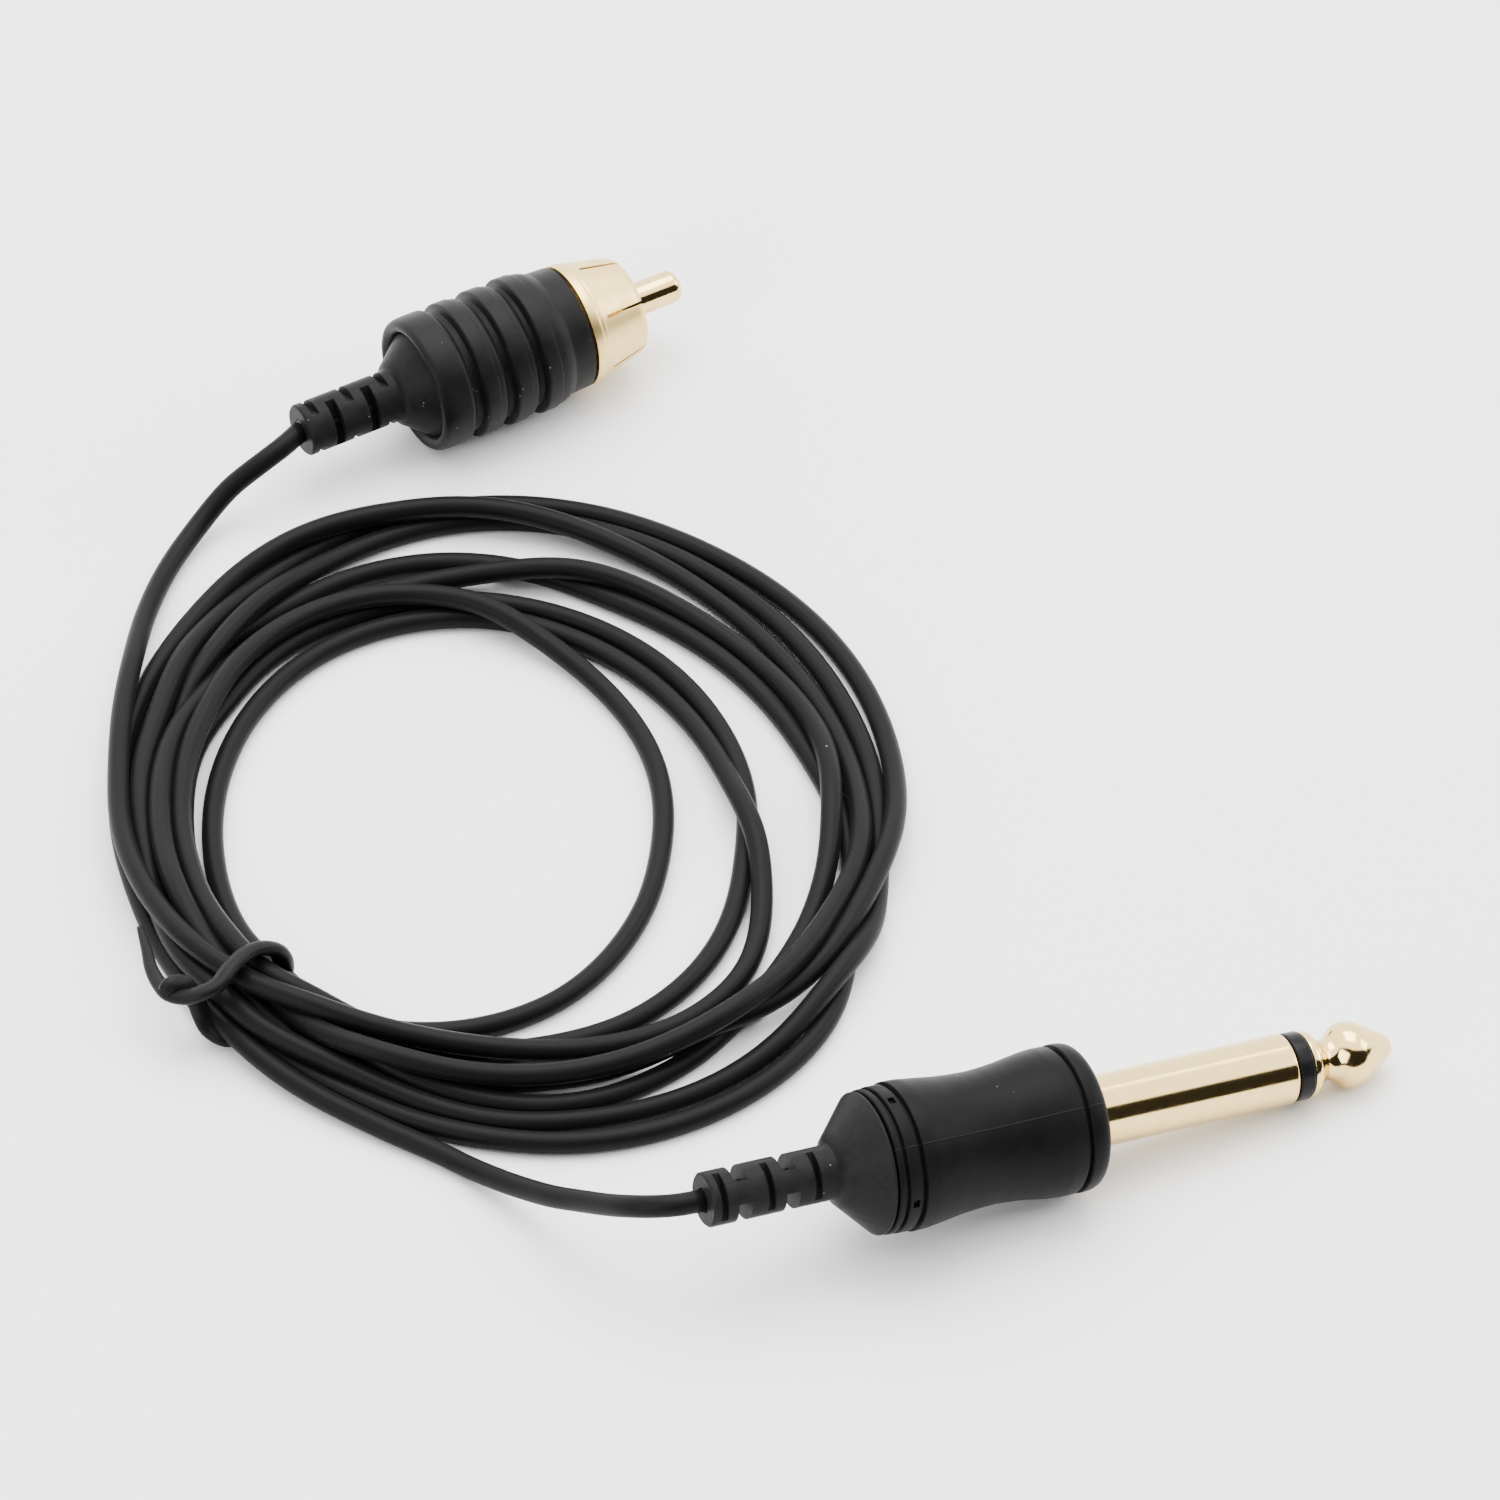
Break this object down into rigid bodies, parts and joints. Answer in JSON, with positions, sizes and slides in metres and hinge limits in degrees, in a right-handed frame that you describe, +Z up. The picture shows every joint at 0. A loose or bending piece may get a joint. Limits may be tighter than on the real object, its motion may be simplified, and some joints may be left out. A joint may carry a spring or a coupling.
{
  "type": "instrument cable",
  "caption": "Coiled thin cable with a gold-plated phono plug on one end and a 6.35 mm mono jack plug on the other, bound with a wire tie.",
  "frame": {"origin": "on the table, at the middle of the rectangle the two plugs fill seen from above", "axes": "+Z up from the table; +Y from the jack plug towards the phono plug; +X the way both plugs point, to the right when looking along +Y"},
  "size_m": [0.115, 0.1245, 0.0155],
  "materials": {
    "grip_rubber": "matte",
    "handle_plastic": "satin",
    "boot_plastic": "satin",
    "cord_jacket": "satin",
    "tie_coating": "satin",
    "ring_plastic": "glossy",
    "gold_plate": "polished gold plate",
    "insulator_white": "matte",
    "core_insulation": "satin",
    "copper": "bright"
  },
  "bodies": {
    "cord": {"phono_lead": "cord_jacket", "jack_lead": "cord_jacket", "cord_coil": "cord_jacket", "tie_loop": "tie_coating", "tie_tail": "tie_coating"},
    "phono_plug": {"phono_grip": "grip_rubber", "phono_shell": "gold_plate", "phono_insulator": "insulator_white", "phono_centre_pin": "gold_plate", "phono_ground_lug": "gold_plate", "phono_inner_moulding": "insulator_white", "phono_strain_relief": "boot_plastic", "phono_cord_end": "cord_jacket", "phono_core": "core_insulation", "phono_conductor": "copper", "phono_braid_tail": "copper"},
    "jack_plug": {"jack_grip": "handle_plastic", "jack_sleeve": "gold_plate", "jack_inner_sleeve": "insulator_white", "jack_insulator_ring": "ring_plastic", "jack_tip": "gold_plate", "jack_rear_washer": "insulator_white", "jack_tip_terminal": "gold_plate", "jack_sleeve_terminal": "gold_plate", "jack_inner_moulding": "insulator_white", "jack_strain_relief": "boot_plastic", "jack_cord_end": "cord_jacket", "jack_core": "core_insulation", "jack_conductor": "copper", "jack_braid_tail": "copper"}
  },
  "joints": [
    {"name": "phono_strain_relief_flex", "type": "hinge", "parent": "cord", "child": "phono_plug", "pos_m": [-0.04498, 0.04268, 0.0066], "axis": [0, 0, 1], "range_deg": [-15, 30], "deforming": ["phono_strain_relief", "phono_cord_end", "phono_core", "phono_conductor"]},
    {"name": "jack_strain_relief_flex", "type": "hinge", "parent": "cord", "child": "jack_plug", "pos_m": [-0.00589, -0.05815, 0.01046], "axis": [0, 0, 1], "range_deg": [-25, 25], "deforming": ["jack_strain_relief", "jack_cord_end", "jack_core", "jack_conductor"]}
  ]
}
